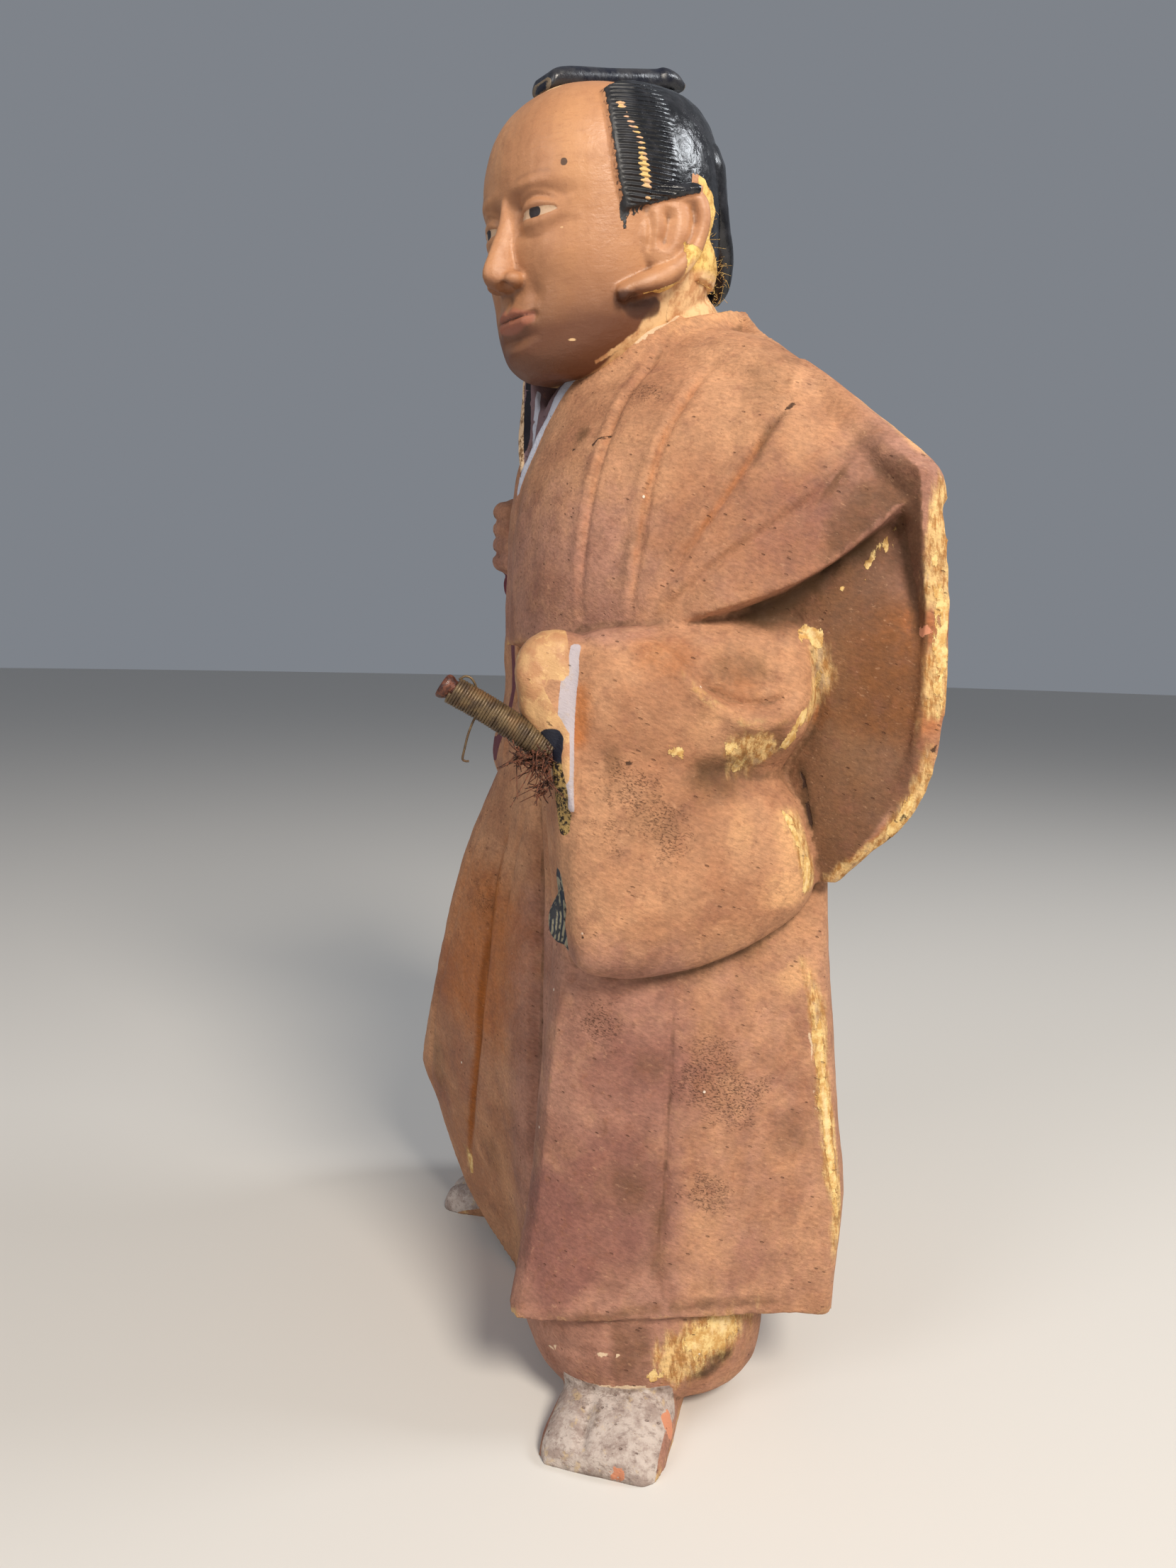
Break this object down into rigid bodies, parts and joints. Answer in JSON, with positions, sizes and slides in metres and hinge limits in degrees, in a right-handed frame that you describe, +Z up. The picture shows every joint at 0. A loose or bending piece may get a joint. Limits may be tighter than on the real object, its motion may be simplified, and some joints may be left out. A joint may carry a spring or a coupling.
{
  "type": "ceramic samurai figure",
  "caption": "Standing robed samurai of fired clay with separate head, black topknot and a broken sword hilt wound with wire.",
  "frame": {"origin": "middle of the footprint's box, on the plane the figure stands on", "axes": "+Z up, the figure faces -Y and its own left side is +X"},
  "size_m": [0.193, 0.1388, 0.405],
  "materials": {
    "painted_clay": "matt, worn paint over fired clay",
    "face_clay": "smooth, low sheen",
    "black_lacquer": "glossy black",
    "hilt_wood": "dark, worn",
    "wire": "tarnished"
  },
  "bodies": {
    "root": {"robed_figure": "painted_clay", "head": "face_clay", "topknot": "black_lacquer", "sword_hilt": "hilt_wood", "binding_wire": "wire"}
  },
  "joints": []
}
